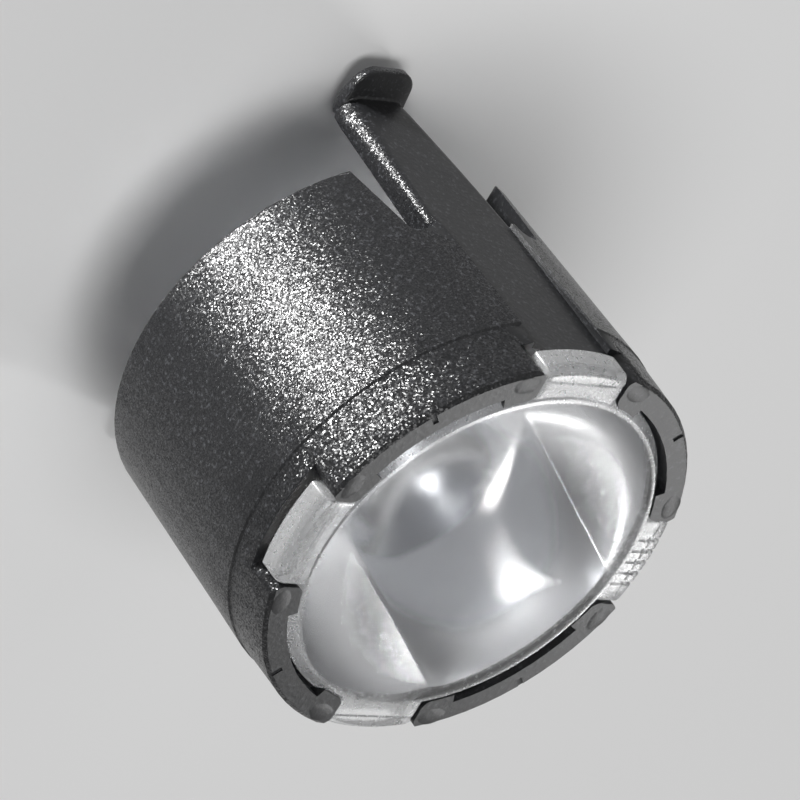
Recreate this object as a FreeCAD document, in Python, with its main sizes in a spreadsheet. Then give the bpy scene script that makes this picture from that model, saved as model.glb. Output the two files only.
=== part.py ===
import FreeCAD, Part
import os
import Sketcher

# A small light-source lens: a clear moulded collimator in a black moulded sleeve.
# The sleeve stands on a circuit board and two snap legs reach through it.
# Origin: centre of the sleeve's seat on the board. Z is the optical axis, light leaves along +Z,
# and the two legs lie on the X axis. Lengths are millimetres, angles are degrees.

# Driving sizes: name, value.
SIZES = [
    # Sleeve wall
    ("holder_height", 6.7),
    ("front_diameter", 9.9),
    ("base_setback", 0.08),
    ("parting_swell", 0.05),
    ("parting_step", 0.03),
    ("band_height", 1.45),
    ("rim_round", 0.08),
    ("finger_width", 0.53),
    ("seat_width", 0.19),
    # Front fingers and their retaining nubs
    ("nub_reach", 0.22),
    ("nub_length", 0.8),
    ("nub_corner", 0.28),
    ("finger_corner", 0.26),
    ("nub_clearance", 0.03),
    ("mark_width", 0.12),
    ("mark_length", 0.3),
    ("mark_depth", 0.04),
    ("tab_count", 4),
    # Snap legs, their slots and channels
    ("board_thickness", 2.0),
    ("board_clearance", 0.15),
    ("channel_setback", 0.17),
    ("leg_thickness", 0.58),
    ("leg_root_width", 2.3),
    ("leg_tip_width", 1.86),
    ("leg_blend", 0.35),
    ("slot_depth", 2.15),
    ("slot_root_gap", 0.63),
    ("slot_mouth_flare", 0.24),
    ("slot_corner", 0.25),
    ("mouth_corner", 0.16),
    ("channel_width", 2.1),
    ("hook_reach", 0.68),
    ("hook_face_height", 0.2),
    ("hook_nose_height", 0.6),
    ("nose_start_depth", 1.6),
    ("hook_tip_thickness", 0.24),
    ("hook_end_width", 0.6),
    ("tip_round", 0.5),
    ("leg_count", 2),
    # Lens
    ("flange_thickness", 0.7),
    ("flange_clearance", 0.08),
    ("rim_chamfer_width", 0.2),
    ("rim_chamfer_height", 0.24),
    ("rim_land", 0.08),
    ("dome_height", 0.38),
    ("tab_width", 2.2),
    ("tab_clearance", 0.04),
    ("tab_floor_gap", 0.15),
    ("tab_setback", 0.06),
    ("tab_drop", 0.04),
    ("tab_round", 0.18),
    ("crease_offset", 2.15),
    ("crease_angle", 51.0),
    ("crease_level", 0.05),
    ("crest_drop", 0.03),
    ("side_lobe_rise", 0.05),
    ("lens_base_gap", 0.3),
    ("cone_clearance", 0.11),
    ("cone_middle_diameter", 6.3),
    ("cone_middle_share", 0.44),
    ("cone_foot_width", 0.2),
    ("well_mouth_diameter", 3.1),
    ("well_top_diameter", 2.6),
    ("well_depth", 2.5),
    ("well_bulge", 0.45),
    ("rib_width", 0.13),
    ("rib_pitch", 0.3),
    ("rib_count", 5),
    ("rib_depth", 0.06),
    # Overshoot of every cut past the faces it opens
    ("overshoot", 0.6),
]

# Sizes that follow from the ones above: name, formula.
DERIVED = [
    ("front_radius", "front_diameter / 2"),
    ("base_radius", "front_radius - base_setback"),
    ("base_round_radius", "base_radius - rim_round"),
    ("parting_radius", "front_radius + parting_swell"),
    ("parting_level", "holder_height - band_height"),
    ("band_radius", "parting_radius - parting_step"),
    ("front_round_radius", "front_radius - rim_round"),
    ("front_round_level", "holder_height - rim_round"),
    ("lip_radius", "front_radius - finger_width"),
    ("flange_radius", "lip_radius - flange_clearance"),
    ("bore_radius", "flange_radius - seat_width"),
    ("nub_radius", "lip_radius - nub_reach"),
    ("seat_level", "holder_height - flange_thickness"),
    ("rim_radius", "flange_radius - rim_chamfer_width"),
    ("rim_slope", "rim_chamfer_height / rim_chamfer_width"),
    ("rim_chamfer_level", "holder_height - rim_chamfer_height"),
    ("nub_edge_level", "holder_height - (nub_radius - rim_radius) * rim_slope + nub_clearance"),
    ("nub_root_level", "holder_height - (lip_radius - rim_radius) * rim_slope + nub_clearance"),
    # Tab windows, seen from the front, centred on the X axis
    ("window_half", "tab_width / 2 + tab_clearance"),
    ("window_depth", "flange_thickness + tab_floor_gap"),
    ("window_level", "holder_height - window_depth"),
    ("window_outer", "parting_radius + overshoot"),
    ("window_inner", "nub_radius - 2 * overshoot"),
    ("nub_corner_half", "window_half + nub_corner"),
    ("nub_corner_start", "sqrt(nub_radius ^ 2 - window_half ^ 2) + nub_corner"),
    ("nub_corner_end", "sqrt(nub_radius ^ 2 - nub_corner_half ^ 2)"),
    ("nub_corner_arc", "nub_corner * (1 - sqrt(0.5))"),
    ("nub_corner_mid_across", "window_half + nub_corner_arc"),
    ("nub_corner_mid_out", "nub_corner_end + nub_corner_arc"),
    ("finger_corner_half", "window_half + finger_corner"),
    ("finger_corner_start", "sqrt(front_radius ^ 2 - window_half ^ 2) - finger_corner"),
    ("finger_corner_end", "sqrt(front_radius ^ 2 - finger_corner_half ^ 2)"),
    ("finger_corner_arc", "finger_corner * (1 - sqrt(0.5))"),
    ("finger_corner_mid_across", "window_half + finger_corner_arc"),
    ("finger_corner_mid_out", "finger_corner_end - finger_corner_arc"),
    # Clear stretch of lip between two nubs, centred on the X axis before it is turned
    ("window_angle", "asin(window_half / lip_radius) / 1 deg"),
    ("nub_angle", "nub_length / lip_radius * 180 / pi"),
    ("finger_turn", "180 / tab_count"),
    ("lip_half_angle", "finger_turn - window_angle - nub_angle"),
    ("lip_corner_out", "lip_radius * cos(lip_half_angle * 1 deg)"),
    ("lip_corner_across", "lip_radius * sin(lip_half_angle * 1 deg)"),
    ("lip_inner_across", "lip_corner_across * window_inner / lip_corner_out"),
    ("mark_half", "mark_width / 2"),
    ("mark_inner", "front_radius - mark_length"),
    # Snap legs, seen from the side and along the X axis
    ("leg_face_distance", "base_radius - channel_setback"),
    ("leg_inner", "leg_face_distance - leg_thickness"),
    ("leg_blend_out", "leg_inner + leg_blend"),
    ("leg_top", "slot_depth + leg_blend"),
    ("hook_out", "leg_face_distance + hook_reach"),
    ("hook_level", "board_thickness + board_clearance"),
    ("hook_lead_level", "hook_level + hook_face_height"),
    ("tip_level", "hook_level + hook_nose_height"),
    ("tip_out", "leg_inner + leg_thickness / 2 + hook_tip_thickness"),
    ("tip_in", "leg_inner + leg_thickness / 2"),
    ("tip_round_level", "tip_level - tip_round"),
    ("tip_mid_out", "leg_inner + leg_thickness / 2 * (1 - sqrt(0.5))"),
    ("tip_mid_level", "tip_level - tip_round * (1 - sqrt(0.5))"),
    ("leg_root_half", "leg_root_width / 2"),
    ("leg_tip_half", "leg_tip_width / 2"),
    ("hook_end_half", "hook_end_width / 2"),
    ("nose_mid_half", "hook_end_half + (leg_tip_half - hook_end_half) * sqrt(0.5)"),
    ("nose_mid_level", "nose_start_depth + (tip_level - nose_start_depth) * sqrt(0.5)"),
    ("slot_outer", "leg_root_half + slot_root_gap"),
    ("slot_mouth", "slot_outer + slot_mouth_flare"),
    ("slot_shoulder", "slot_depth - slot_corner"),
    ("slot_arc", "slot_corner * (1 - sqrt(0.5))"),
    ("slot_outer_in", "slot_outer - slot_corner"),
    ("slot_outer_mid", "slot_outer - slot_arc"),
    ("slot_inner_in", "leg_root_half + slot_corner"),
    ("slot_inner_mid", "leg_root_half + slot_arc"),
    ("slot_mid_level", "slot_depth - slot_arc"),
    ("mouth_arc", "mouth_corner * (1 - sqrt(0.5))"),
    ("mouth_mid", "slot_mouth + mouth_arc"),
    ("mouth_mid_level", "mouth_arc"),
    ("mouth_outer", "slot_mouth + mouth_corner"),
    ("slot_below", "tip_level + overshoot"),
    ("slot_reach", "hook_out + overshoot"),
    ("channel_half", "channel_width / 2"),
    # Lens
    ("tab_radius", "front_radius - tab_setback"),
    ("lobe_edge", "tab_radius + overshoot"),
    ("lobe_turn", "crease_angle + 90"),
    ("rim_inner_radius", "rim_radius - rim_land"),
    ("dome_level", "holder_height + dome_height"),
    ("dome_mid_radius", "rim_inner_radius / 2"),
    ("dome_mid_share", "1 - (dome_mid_radius / rim_inner_radius) ^ 2"),
    ("dome_mid_level", "holder_height + dome_mid_share * dome_height"),
    ("lobe_crest", "dome_level - crest_drop"),
    ("lobe_valley", "holder_height + crease_level"),
    ("side_lobe_crest", "lobe_valley + side_lobe_rise"),
    ("side_lobe_middle", "(crease_offset + lobe_edge) / 2"),
    ("lobe_top", "dome_level + overshoot"),
    ("lobe_length", "2 * lobe_edge"),
    ("cone_top_radius", "bore_radius - cone_clearance"),
    ("cone_middle_radius", "cone_middle_diameter / 2"),
    ("cone_middle_level", "lens_base_gap + (seat_level - lens_base_gap) * cone_middle_share"),
    ("well_mouth_radius", "well_mouth_diameter / 2"),
    ("cone_foot_radius", "well_mouth_radius + cone_foot_width"),
    ("well_top_radius", "well_top_diameter / 2"),
    ("well_top_level", "lens_base_gap + well_depth"),
    ("well_apex_level", "well_top_level - well_bulge"),
    ("well_mid_radius", "well_top_radius / 2"),
    ("well_mid_share", "1 - (well_mid_radius / well_top_radius) ^ 2"),
    ("well_mid_level", "well_top_level - well_mid_share * well_bulge"),
    ("tab_blank", "tab_radius + overshoot"),
    ("tab_trim_radius", "sqrt(tab_blank ^ 2 + tab_width ^ 2 / 4) + overshoot"),
    ("tab_root", "rim_radius - overshoot"),
    ("tab_level", "holder_height - tab_drop"),
    ("tab_round_level", "tab_level - tab_round"),
    ("tab_round_out", "tab_radius - tab_round"),
    ("tab_round_mid_out", "tab_radius - tab_round * (1 - sqrt(0.5))"),
    ("tab_round_mid_level", "tab_level - tab_round * (1 - sqrt(0.5))"),
    ("tab_height", "tab_level - seat_level"),
    ("rib_half", "rib_width / 2"),
    ("rib_inner", "tab_radius - rib_depth"),
    ("rib_span", "rib_pitch * (rib_count - 1)"),
    ("rib_first_left", "rib_span / 2 + rib_half"),
    ("rib_first_right", "rib_span / 2 - rib_half"),
]

doc = FreeCAD.newDocument("led_lens")
sheet = doc.addObject("Spreadsheet::Sheet", "sizes")


def fill_sheet():
    """Writes the driving sizes as plain numbers and the derived ones as formulas."""
    row = 1
    for name, number in SIZES:
        sheet.set("A%d" % row, name)
        sheet.set("B%d" % row, str(number))
        sheet.setAlias("B%d" % row, name)
        row += 1
    for name, formula in DERIVED:
        sheet.set("A%d" % row, name)
        sheet.set("B%d" % row, "=" + formula)
        sheet.setAlias("B%d" % row, name)
        row += 1
    doc.recompute()


def number_of(term):
    """Number that a term such as slot_depth or -slot_depth stands for."""
    if term == "0":
        return 0.0
    if term.startswith("-"):
        return -float(sheet.get(term[1:]))
    return float(sheet.get(term))


def formula_of(term):
    """Formula that ties a size to the cell a term names."""
    if term.startswith("-"):
        return "-sizes." + term[1:]
    return "sizes." + term


def opposite(term):
    """The same term with its sign turned round."""
    if term == "0":
        return term
    if term.startswith("-"):
        return term[1:]
    return "-" + term


def point_of(pair):
    """Sketch point at a pair of terms."""
    return FreeCAD.Vector(number_of(pair[0]), number_of(pair[1]), 0)


def make_body(label):
    """An empty body with a name of its own."""
    body = doc.addObject("PartDesign::Body", label)
    body.Label = label
    return body


def origin_feature(body, role):
    """One of a body's own planes or axes."""
    for feature in body.Origin.OriginFeatures:
        if feature.Role == role:
            return feature
    raise RuntimeError("no " + role)


def make_sketch(body, name, plane, height="0", turn="0"):
    """A sketch on one of the body's planes, lifted and turned by named sizes."""
    sketch = body.newObject("Sketcher::SketchObject", name)
    sketch.AttachmentSupport = (origin_feature(body, plane), "")
    sketch.MapMode = "FlatFace"
    upright = FreeCAD.Vector(0, 0, 1) if plane == "XY_Plane" else FreeCAD.Vector(0, 1, 0)
    turned = FreeCAD.Rotation(upright, number_of(turn))
    sketch.AttachmentOffset = FreeCAD.Placement(FreeCAD.Vector(0, 0, number_of(height)), turned)
    if height != "0":
        sketch.setExpression("AttachmentOffset.Base.z", formula_of(height))
    if turn != "0":
        sketch.setExpression("AttachmentOffset.Rotation.Angle", formula_of(turn) + " * 1 deg")
    return sketch


def pin(sketch, geometry, end, pair):
    """Holds one end of a line or arc at a pair of terms."""
    axes = (("DistanceX", -2, pair[0]), ("DistanceY", -1, pair[1]))
    for kind, axis, term in axes:
        if term == "0":
            sketch.addConstraint(Sketcher.Constraint("PointOnObject", geometry, end, axis))
            continue
        held = Sketcher.Constraint(kind, -1, 1, geometry, end, number_of(term))
        index = sketch.addConstraint(held)
        sketch.setExpression("Constraints[%d]" % index, formula_of(term))


def draw(sketch, outline):
    """Draws a closed outline.

    Each entry is a corner (across, up), or a corner and a point (across, up, across, up) that the
    arc from this corner to the next one passes through.
    """
    count = len(outline)
    pieces = []
    for index, entry in enumerate(outline):
        start = point_of(entry[:2])
        finish = point_of(outline[(index + 1) % count][:2])
        if len(entry) == 2:
            geometry = sketch.addGeometry(Part.LineSegment(start, finish))
            pieces.append((geometry, 1, 2))
            continue
        through = point_of(entry[2:])
        geometry = sketch.addGeometry(Part.ArcOfCircle(start, through, finish))
        from_start = sketch.getPoint(geometry, 1).distanceToPoint(start)
        from_finish = sketch.getPoint(geometry, 1).distanceToPoint(finish)
        pieces.append((geometry, 1, 2) if from_start < from_finish else (geometry, 2, 1))
    for index, entry in enumerate(outline):
        geometry, first, last = pieces[index]
        after, after_first, after_last = pieces[(index + 1) % count]
        sketch.addConstraint(Sketcher.Constraint("Coincident", geometry, last, after, after_first))
        pin(sketch, geometry, first, entry[:2])
        if len(entry) == 4:
            middle = sketch.addGeometry(Part.Point(point_of(entry[2:])), True)
            pin(sketch, middle, 1, entry[2:])
            sketch.addConstraint(Sketcher.Constraint("PointOnObject", middle, 1, geometry))


def mirrored(outline):
    """The outline on the other side of the upright axis, still drawn in order."""
    count = len(outline)
    flipped = []
    for step in range(count):
        here = outline[(count - step) % count]
        before = outline[(count - step - 1) % count]
        corner = (opposite(here[0]), here[1])
        if len(before) == 4:
            corner += (opposite(before[2]), before[3])
        flipped.append(corner)
    return flipped


def revolve(body, name, outline):
    """A solid turned from an outline of radius and height."""
    sketch = make_sketch(body, name + "_profile", "XZ_Plane")
    draw(sketch, outline)
    doc.recompute()
    feature = body.newObject("PartDesign::Revolution", name)
    feature.Profile = sketch
    feature.ReferenceAxis = (sketch, ["V_Axis"])
    feature.Angle = 360
    body.Tip = feature
    doc.recompute()
    return feature


def pad(body, name, sketch, thickness):
    """A solid of even thickness, half of it on each side of its sketch."""
    doc.recompute()
    feature = body.newObject("PartDesign::Pad", name)
    feature.Profile = sketch
    feature.Midplane = True
    feature.setExpression("Length", formula_of(thickness))
    body.Tip = feature
    doc.recompute()
    return feature


def pocket(body, name, sketch, depth, outward=False, both_ways=False):
    """A cut from a sketch, which has to take something away."""
    doc.recompute()
    before = body.Shape.Volume
    feature = body.newObject("PartDesign::Pocket", name)
    feature.Profile = sketch
    feature.Type = 0
    feature.Reversed = outward
    feature.Midplane = both_ways
    feature.setExpression("Length", formula_of(depth))
    body.Tip = feature
    doc.recompute()
    if not body.Shape.Volume < before:
        raise RuntimeError(name + " cuts nothing")
    return feature


def repeat_round(body, name, features, count_term):
    """Features repeated evenly round the optical axis."""
    pattern = body.newObject("PartDesign::PolarPattern", name)
    pattern.Originals = features
    pattern.Axis = (origin_feature(body, "Z_Axis"), [""])
    pattern.Angle = 360
    pattern.setExpression("Occurrences", formula_of(count_term))
    body.Tip = pattern
    doc.recompute()
    return pattern


def add_sleeve_wall(body):
    """The turned wall: bore, lens seat, lip and a full ring of nub under the front face."""
    revolve(body, "wall", [
        ("bore_radius", "0"),
        ("base_round_radius", "0"),
        ("base_radius", "rim_round"),
        ("parting_radius", "parting_level"),
        ("band_radius", "parting_level"),
        ("front_radius", "front_round_level"),
        ("front_round_radius", "holder_height"),
        ("nub_radius", "holder_height"),
        ("nub_radius", "nub_edge_level"),
        ("lip_radius", "nub_root_level"),
        ("lip_radius", "seat_level"),
        ("bore_radius", "seat_level"),
    ])


def add_fingers(body):
    """Four windows for the lens tabs part the front into fingers with a nub at each end."""
    window = make_sketch(body, "window_outline", "XY_Plane", "holder_height")
    side = [
        ("window_inner", "nub_corner_half"),
        ("nub_corner_end", "nub_corner_half", "nub_corner_mid_out", "nub_corner_mid_across"),
        ("nub_corner_start", "window_half"),
        ("finger_corner_start", "window_half", "finger_corner_mid_out", "finger_corner_mid_across"),
        ("finger_corner_end", "finger_corner_half"),
        ("window_outer", "finger_corner_half"),
    ]
    other = [
        ("window_outer", "-finger_corner_half"),
        ("finger_corner_end", "-finger_corner_half", "finger_corner_mid_out", "-finger_corner_mid_across"),
        ("finger_corner_start", "-window_half"),
        ("nub_corner_start", "-window_half", "nub_corner_mid_out", "-nub_corner_mid_across"),
        ("nub_corner_end", "-nub_corner_half"),
        ("window_inner", "-nub_corner_half"),
    ]
    draw(window, side + other)
    window_cut = pocket(body, "window", window, "window_depth")

    lip = make_sketch(body, "lip_outline", "XY_Plane", "holder_height", "finger_turn")
    draw(lip, [
        ("window_inner", "-lip_inner_across"),
        ("lip_corner_out", "-lip_corner_across", "lip_radius", "0"),
        ("lip_corner_out", "lip_corner_across"),
        ("window_inner", "lip_inner_across"),
    ])
    lip_cut = pocket(body, "lip_between_nubs", lip, "flange_thickness")

    mark = make_sketch(body, "mark_outline", "XY_Plane", "holder_height", "finger_turn")
    draw(mark, [
        ("mark_inner", "-mark_half"),
        ("window_outer", "-mark_half"),
        ("window_outer", "mark_half"),
        ("mark_inner", "mark_half"),
    ])
    mark_cut = pocket(body, "finger_mark", mark, "mark_depth")
    repeat_round(body, "fingers", [window_cut, lip_cut, mark_cut], "tab_count")


def add_legs(body):
    """Two snap legs, each under a smooth channel and freed from the wall by two slots."""
    side = make_sketch(body, "leg_side", "XZ_Plane")
    draw(side, [
        ("leg_inner", "slot_depth"),
        ("leg_inner", "-tip_round_level", "tip_mid_out", "-tip_mid_level"),
        ("tip_in", "-tip_level"),
        ("tip_out", "-tip_level"),
        ("hook_out", "-hook_lead_level"),
        ("hook_out", "-hook_level"),
        ("leg_face_distance", "-hook_level"),
        ("leg_face_distance", "slot_depth"),
        ("leg_blend_out", "leg_top"),
    ])
    leg = pad(body, "leg", side, "leg_root_width")

    channel = make_sketch(body, "channel_outline", "XY_Plane", "window_level")
    draw(channel, [
        ("leg_face_distance", "-channel_half"),
        ("window_outer", "-channel_half"),
        ("window_outer", "channel_half"),
        ("leg_face_distance", "channel_half"),
    ])
    channel_cut = pocket(body, "channel", channel, "window_level")

    front = make_sketch(body, "leg_front", "YZ_Plane")
    flank = [
        ("leg_root_half", "slot_shoulder", "slot_inner_mid", "slot_mid_level"),
        ("slot_inner_in", "slot_depth"),
        ("slot_outer_in", "slot_depth", "slot_outer_mid", "slot_mid_level"),
        ("slot_outer", "slot_shoulder"),
        ("slot_mouth", "mouth_corner", "mouth_mid", "mouth_mid_level"),
        ("mouth_outer", "0"),
        ("mouth_outer", "-slot_below"),
        ("hook_end_half", "-slot_below"),
        ("hook_end_half", "-tip_level", "nose_mid_half", "-nose_mid_level"),
        ("leg_tip_half", "-nose_start_depth"),
    ]
    draw(front, flank)
    draw(front, mirrored(flank))
    slot_cut = pocket(body, "slots", front, "slot_reach", outward=True)
    repeat_round(body, "legs", [leg, channel_cut, slot_cut], "leg_count")


def make_holder():
    """The black sleeve."""
    body = make_body("holder")
    add_sleeve_wall(body)
    add_fingers(body)
    add_legs(body)
    return body


def add_lens_turning(body):
    """The turned part of the lens: source pocket, reflecting cone, flange, rim and front dome."""
    revolve(body, "collimator", [
        ("0", "well_apex_level", "well_mid_radius", "well_mid_level"),
        ("well_top_radius", "well_top_level"),
        ("well_mouth_radius", "lens_base_gap"),
        ("cone_foot_radius", "lens_base_gap", "cone_middle_radius", "cone_middle_level"),
        ("cone_top_radius", "seat_level"),
        ("flange_radius", "seat_level"),
        ("flange_radius", "rim_chamfer_level"),
        ("rim_radius", "holder_height"),
        ("rim_inner_radius", "holder_height", "dome_mid_radius", "dome_mid_level"),
        ("0", "dome_level"),
    ])


def add_tabs(body):
    """Four tabs on the flange, with a rounded front edge and one ribbed end."""
    side = make_sketch(body, "tab_side", "XZ_Plane")
    draw(side, [
        ("tab_root", "seat_level"),
        ("tab_blank", "seat_level"),
        ("tab_blank", "tab_level"),
        ("tab_root", "tab_level"),
    ])
    tab = pad(body, "tab", side, "tab_width")
    repeat_round(body, "tabs", [tab], "tab_count")


def trim_tabs(body):
    """Turns the tab ends to one radius and rounds their front edge."""
    sketch = make_sketch(body, "tab_end_profile", "XZ_Plane")
    draw(sketch, [
        ("tab_radius", "lens_base_gap"),
        ("tab_trim_radius", "lens_base_gap"),
        ("tab_trim_radius", "dome_level"),
        ("tab_round_out", "dome_level"),
        ("tab_round_out", "tab_level", "tab_round_mid_out", "tab_round_mid_level"),
        ("tab_radius", "tab_round_level"),
    ])
    doc.recompute()
    before = body.Shape.Volume
    groove = body.newObject("PartDesign::Groove", "tab_ends")
    groove.Profile = sketch
    groove.ReferenceAxis = (sketch, ["V_Axis"])
    groove.Angle = 360
    body.Tip = groove
    doc.recompute()
    if not body.Shape.Volume < before:
        raise RuntimeError("tab_ends cuts nothing")


def add_lobes(body):
    """Two creases part the front dome into three long lobes."""
    sketch = make_sketch(body, "lobe_profile", "XZ_Plane", turn="lobe_turn")
    draw(sketch, [
        ("-lobe_edge", "lobe_valley", "-side_lobe_middle", "side_lobe_crest"),
        ("-crease_offset", "lobe_valley", "0", "lobe_crest"),
        ("crease_offset", "lobe_valley", "side_lobe_middle", "side_lobe_crest"),
        ("lobe_edge", "lobe_valley"),
        ("lobe_edge", "lobe_top"),
        ("-lobe_edge", "lobe_top"),
    ])
    return pocket(body, "lobes", sketch, "lobe_length", both_ways=True)


def add_ribs(body):
    """Short ribs on the end of one tab, left where the moulding's runner was trimmed."""
    sketch = make_sketch(body, "rib_outline", "XY_Plane", "tab_level")
    draw(sketch, [
        ("-rib_first_left", "-tab_blank"),
        ("-rib_first_right", "-tab_blank"),
        ("-rib_first_right", "-rib_inner"),
        ("-rib_first_left", "-rib_inner"),
    ])
    groove = pocket(body, "rib_gap", sketch, "tab_height")
    pattern = body.newObject("PartDesign::LinearPattern", "rib_gaps")
    pattern.Originals = [groove]
    pattern.Direction = (sketch, ["H_Axis"])
    pattern.setExpression("Length", "sizes.rib_span")
    pattern.setExpression("Occurrences", "sizes.rib_count")
    body.Tip = pattern
    doc.recompute()


def make_lens():
    """The clear collimator, turned so that its creases lie at their own angle to the legs."""
    body = make_body("lens")
    add_lens_turning(body)
    add_lobes(body)
    add_tabs(body)
    trim_tabs(body)
    add_ribs(body)
    return body


def check_document():
    """Stops when any object failed to build."""
    for item in doc.Objects:
        for state in item.State:
            if state in ("Invalid", "Error"):
                raise RuntimeError(item.Name + " is " + state)


def export(bodies):
    """Writes each piece under its own name."""
    for body in bodies:
        shape = body.Shape
        if shape.isNull() or not shape.isValid():
            raise RuntimeError(body.Label + " has no valid shape")
    os.makedirs("parts", exist_ok=True)
    for body in bodies:
        body.Shape.exportStep("parts/%s.step" % body.Label)
        print("%s: %.3f mm3, %d solid" % (body.Label, body.Shape.Volume, len(body.Shape.Solids)))


fill_sheet()
pieces = [make_holder(), make_lens()]
doc.recompute()
check_document()
export(pieces)
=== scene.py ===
"""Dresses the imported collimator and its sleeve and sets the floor, the lamps and the camera."""
import logging
import math
from collections.abc import Callable
from dataclasses import dataclass
from enum import Enum

import bmesh
import bpy
from mathutils import Matrix, Vector

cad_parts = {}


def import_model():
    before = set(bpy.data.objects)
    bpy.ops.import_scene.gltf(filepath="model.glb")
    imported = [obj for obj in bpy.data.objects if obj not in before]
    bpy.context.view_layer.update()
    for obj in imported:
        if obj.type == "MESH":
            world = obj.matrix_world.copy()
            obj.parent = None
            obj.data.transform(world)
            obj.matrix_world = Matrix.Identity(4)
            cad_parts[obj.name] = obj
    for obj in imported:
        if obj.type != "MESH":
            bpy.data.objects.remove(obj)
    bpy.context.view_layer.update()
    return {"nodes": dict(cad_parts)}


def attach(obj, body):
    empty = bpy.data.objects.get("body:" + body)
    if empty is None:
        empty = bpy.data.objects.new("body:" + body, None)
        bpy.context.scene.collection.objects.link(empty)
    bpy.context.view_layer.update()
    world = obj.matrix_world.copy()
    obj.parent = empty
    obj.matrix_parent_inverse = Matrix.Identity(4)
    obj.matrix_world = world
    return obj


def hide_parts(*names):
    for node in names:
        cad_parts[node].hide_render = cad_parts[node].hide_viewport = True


MM = 0.001
HALF = 0.5
QUARTER_TURN = math.pi / 2
ZONE_NAME = "surface_zone"
LOG = logging.getLogger("led_lens")

Socket = bpy.types.NodeSocket
Colour = tuple[float, float, float, float]
Point = tuple[float, float]


class Slot(Enum):
    """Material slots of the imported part."""

    BLACK = "black_plastic"
    CLEAR = "clear_plastic"


class MixKind(Enum):
    """Kinds of Mix node, each with the numbers of its first input and of its output."""

    VECTOR = (4, 1)
    RGBA = (6, 2)


class Nodes:
    """Adds and joins the nodes of one tree."""

    def __init__(self, tree: bpy.types.NodeTree) -> None:
        """Keeps the tree."""
        self.tree = tree

    def add(self, kind: str, **values: object) -> bpy.types.Node:
        """Adds a node and sets its options and its inputs.

        Args:
            kind: Blender's name of the node type.
            values: Options by property name. A name that starts with i and a number is the input
                of that number, and a value that is a socket is joined to it.

        Returns:
            The node.
        """
        node = self.tree.nodes.new(kind)
        for name, value in values.items():
            if name[0] == "i" and name[1:].isdigit():
                self.feed(node.inputs[int(name[1:])], value)
            else:
                setattr(node, name, value)
        return node

    def feed(self, socket: Socket, value: object) -> None:
        """Joins a socket to an input, or writes a plain value there.

        Args:
            socket: The input.
            value: The socket to join, or the plain value.
        """
        if isinstance(value, bpy.types.NodeSocket):
            self.tree.links.new(value, socket)
        else:
            socket.default_value = value

    def work_out(self, kind: str, operation: str, terms: tuple[object, ...]) -> Socket:
        """Works out an operation on terms.

        Args:
            kind: Blender's name of the node type.
            operation: The operation.
            terms: Sockets or plain values, in the order of the node's inputs.

        Returns:
            The result.
        """
        node = self.add(kind, operation=operation)
        for socket, term in zip(node.inputs, terms):
            self.feed(socket, term)
        return node.outputs[0]

    def math(self, operation: str, *terms: object) -> Socket:
        """Result of a Math node."""
        return self.work_out("ShaderNodeMath", operation, terms)

    def vector(self, operation: str, *terms: object) -> Socket:
        """Result of a Vector Math node."""
        return self.work_out("ShaderNodeVectorMath", operation, terms)

    def length(self, vector: Socket) -> Socket:
        """Length of a vector."""
        return self.add("ShaderNodeVectorMath", operation="LENGTH", i0=vector).outputs["Value"]

    def place(self) -> Socket:
        """Place on the object, in metres."""
        return self.add("ShaderNodeTexCoord").outputs["Object"]

    def facing(self) -> Socket:
        """The way the surface faces."""
        return self.add("ShaderNodeNewGeometry").outputs["Normal"]

    def mix(self, kind: MixKind, share: object, first: object, second: object) -> Socket:
        """Goes from one vector or colour to another.

        Args:
            kind: Vectors or colours.
            share: Share of the second.
            first: The first vector or colour.
            second: The second vector or colour.

        Returns:
            The vector or colour between them.
        """
        node = self.add("ShaderNodeMix", data_type=kind.name)
        start, result = kind.value
        for index, term in ((0, share), (start, first), (start + 1, second)):
            self.feed(node.inputs[index], term)
        return node.outputs[result]

    def ramp(self, value: object, low: float, high: float, out_low: float = 0.0,
             out_high: float = 1.0) -> Socket:
        """Carries a value smoothly from one range to another and holds it there.

        Args:
            value: The value.
            low: Start of its range.
            high: End of its range.
            out_low: Result at the start.
            out_high: Result at the end.

        Returns:
            The result.
        """
        node = self.add("ShaderNodeMapRange", interpolation_type="SMOOTHSTEP")
        for index, term in enumerate((value, low, high, out_low, out_high)):
            self.feed(node.inputs[index], term)
        return node.outputs[0]

    def seen_directly(self) -> Socket:
        """Tells what is looked at from what gives light.

        Returns:
            One for what the camera, a reflection or a clear body shows, and nought otherwise.
        """
        path = self.add("ShaderNodeLightPath").outputs
        mirrored = self.math("MAXIMUM", path["Is Glossy Ray"], path["Is Transmission Ray"])
        return self.math("MAXIMUM", path["Is Camera Ray"], mirrored)

    def bump(self, height: Socket, normal: Socket | None = None) -> Socket:
        """Lets a surface stand up.

        Args:
            height: Height in millimetres.
            normal: The way the surface faces, where that isn't its own.

        Returns:
            The way the raised surface faces.
        """
        node = self.add("ShaderNodeBump")
        self.feed(node.inputs["Strength"], 1.0)
        self.feed(node.inputs["Distance"], MM)
        self.feed(node.inputs["Height"], height)
        if normal is not None:
            self.feed(node.inputs["Normal"], normal)
        return node.outputs[0]


class Zone(Enum):
    """Finishes that the black moulding carries, from smooth to rough, as its faces store them."""

    SMOOTH = 0.0
    FINE = 1.0
    COARSE = 2.0

    def mask(self, nodes: Nodes, stored: Socket) -> Socket:
        """Finds the faces with a finish.

        Args:
            nodes: Nodes of the material.
            stored: The value that the faces store.

        Returns:
            One on faces with this finish or a rougher one, and nought on the others.
        """
        border, blend = self.value - HALF, 0.1
        return nodes.ramp(stored, border - blend, border + blend)


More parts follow.
